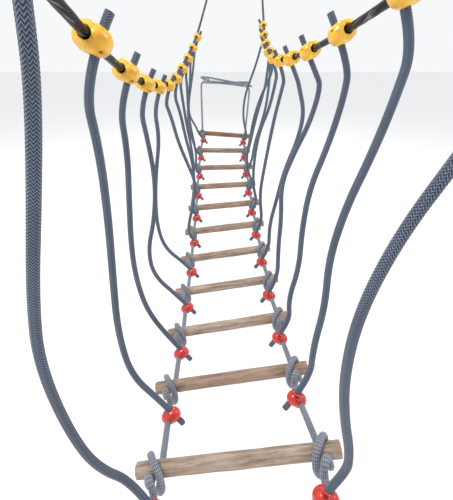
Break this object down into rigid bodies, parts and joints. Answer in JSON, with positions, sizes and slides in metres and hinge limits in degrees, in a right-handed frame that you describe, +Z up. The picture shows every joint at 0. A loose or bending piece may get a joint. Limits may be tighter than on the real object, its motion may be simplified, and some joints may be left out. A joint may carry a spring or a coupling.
{
  "type": "rope bridge",
  "caption": "Rope-ladder bridge with round wooden rungs hitched into two foot ropes, and two handrail ropes tied to them by slack droppers in clamp connectors.",
  "frame": {"origin": "midway between the two near foot-rope eyes, on the line through their centres", "axes": "+X right across the bridge, +Y along the bridge to its far end at the tree, +Z up"},
  "size_m": [0.7183, 4.3923, 1.7061],
  "materials": {
    "wood": "worn, oiled",
    "foot_rope": "braided",
    "handrail_rope": "laid, glossy",
    "dropper_rope": "knitted sleeve",
    "red_plastic": "gloss",
    "yellow_plastic": "gloss",
    "screw_steel": "satin",
    "eye_metal": "satin"
  },
  "bodies": {
    "deck": {"left_foot_rope": "foot_rope", "left_foot_rope_eye": "eye_metal", "left_tree_loop_clamp": "eye_metal", "left_red_rope_shells": "red_plastic", "left_red_dropper_shells": "red_plastic", "left_red_screws": "screw_steel", "left_dropper_01": "dropper_rope", "left_dropper_02": "dropper_rope", "left_dropper_03": "dropper_rope", "left_dropper_04": "dropper_rope", "left_dropper_05": "dropper_rope", "left_dropper_06": "dropper_rope", "left_dropper_07": "dropper_rope", "left_dropper_08": "dropper_rope", "left_dropper_09": "dropper_rope", "left_dropper_10": "dropper_rope", "left_dropper_11": "dropper_rope", "right_foot_rope": "foot_rope", "right_foot_rope_eye": "eye_metal", "right_tree_loop_clamp": "eye_metal", "right_red_rope_shells": "red_plastic", "right_red_dropper_shells": "red_plastic", "right_red_screws": "screw_steel", "right_dropper_01": "dropper_rope", "right_dropper_02": "dropper_rope", "right_dropper_03": "dropper_rope", "right_dropper_04": "dropper_rope", "right_dropper_05": "dropper_rope", "right_dropper_06": "dropper_rope", "right_dropper_07": "dropper_rope", "right_dropper_08": "dropper_rope", "right_dropper_09": "dropper_rope", "right_dropper_10": "dropper_rope", "right_dropper_11": "dropper_rope"},
    "left_handrail": {"left_handrail_rope": "handrail_rope", "left_handrail_near_eye": "eye_metal", "left_handrail_far_eye": "eye_metal", "left_yellow_rope_shells": "yellow_plastic", "left_yellow_dropper_shells": "yellow_plastic", "left_yellow_screws": "screw_steel"},
    "right_handrail": {"right_handrail_rope": "handrail_rope", "right_handrail_near_eye": "eye_metal", "right_handrail_far_eye": "eye_metal", "right_yellow_rope_shells": "yellow_plastic", "right_yellow_dropper_shells": "yellow_plastic", "right_yellow_screws": "screw_steel"},
    "rung_01": {"rung_01": "wood"},
    "rung_02": {"rung_02": "wood"},
    "rung_03": {"rung_03": "wood"},
    "rung_04": {"rung_04": "wood"},
    "rung_05": {"rung_05": "wood"},
    "rung_06": {"rung_06": "wood"},
    "rung_07": {"rung_07": "wood"},
    "rung_08": {"rung_08": "wood"},
    "rung_09": {"rung_09": "wood"},
    "rung_10": {"rung_10": "wood"},
    "rung_11": {"rung_11": "wood"}
  },
  "joints": [
    {"name": "left_handrail_sway", "type": "hinge", "parent": "deck", "child": "left_handrail", "pos_m": [-0.196, 0, 0.94], "axis": [0.0075, 0.9948, 0.1011], "range_deg": [-8, 8], "deforming": ["left_dropper_01", "left_dropper_02", "left_dropper_03", "left_dropper_04", "left_dropper_05", "left_dropper_06", "left_dropper_07", "left_dropper_08", "left_dropper_09", "left_dropper_10", "left_dropper_11"]},
    {"name": "right_handrail_sway", "type": "hinge", "parent": "deck", "child": "right_handrail", "pos_m": [0.338, 0, 1], "axis": [-0.001, 0.9966, 0.0822], "range_deg": [-8, 8], "deforming": ["right_dropper_01", "right_dropper_02", "right_dropper_03", "right_dropper_04", "right_dropper_05", "right_dropper_06", "right_dropper_07", "right_dropper_08", "right_dropper_09", "right_dropper_10", "right_dropper_11"]},
    {"name": "rung_01_roll", "type": "hinge", "parent": "deck", "child": "rung_01", "pos_m": [0.025, 0.345, -0.09284], "axis": [0.9848, 0, 0.1736], "range_deg": [-20, 20]},
    {"name": "rung_02_roll", "type": "hinge", "parent": "deck", "child": "rung_02", "pos_m": [0.014, 0.6585, -0.15453], "axis": [0.9816, 0, 0.1908], "range_deg": [-20, 20]},
    {"name": "rung_03_roll", "type": "hinge", "parent": "deck", "child": "rung_03", "pos_m": [0.008, 0.972, -0.19343], "axis": [0.9816, 0, 0.1908], "range_deg": [-20, 20]},
    {"name": "rung_04_roll", "type": "hinge", "parent": "deck", "child": "rung_04", "pos_m": [0, 1.2855, -0.20952], "axis": [0.9848, 0, 0.1736], "range_deg": [-20, 20]},
    {"name": "rung_05_roll", "type": "hinge", "parent": "deck", "child": "rung_05", "pos_m": [-0.006, 1.599, -0.20585], "axis": [0.9877, 0, 0.1564], "range_deg": [-20, 20]},
    {"name": "rung_06_roll", "type": "hinge", "parent": "deck", "child": "rung_06", "pos_m": [-0.014, 1.9125, -0.1888], "axis": [0.9914, 0, 0.1305], "range_deg": [-20, 20]},
    {"name": "rung_07_roll", "type": "hinge", "parent": "deck", "child": "rung_07", "pos_m": [-0.02, 2.226, -0.15859], "axis": [0.9954, 0, 0.0958], "range_deg": [-20, 20]},
    {"name": "rung_08_roll", "type": "hinge", "parent": "deck", "child": "rung_08", "pos_m": [-0.027, 2.5395, -0.1152], "axis": [0.9981, 0, 0.061], "range_deg": [-20, 20]},
    {"name": "rung_09_roll", "type": "hinge", "parent": "deck", "child": "rung_09", "pos_m": [-0.033, 2.853, -0.05865], "axis": [0.9997, 0, 0.0262], "range_deg": [-20, 20]},
    {"name": "rung_10_roll", "type": "hinge", "parent": "deck", "child": "rung_10", "pos_m": [-0.037, 3.1665, 0.01108], "axis": [1, 0, -0.0087], "range_deg": [-20, 20]},
    {"name": "rung_11_roll", "type": "hinge", "parent": "deck", "child": "rung_11", "pos_m": [-0.026, 3.48, 0.09397], "axis": [0.9976, 0, -0.0698], "range_deg": [-20, 20]}
  ]
}
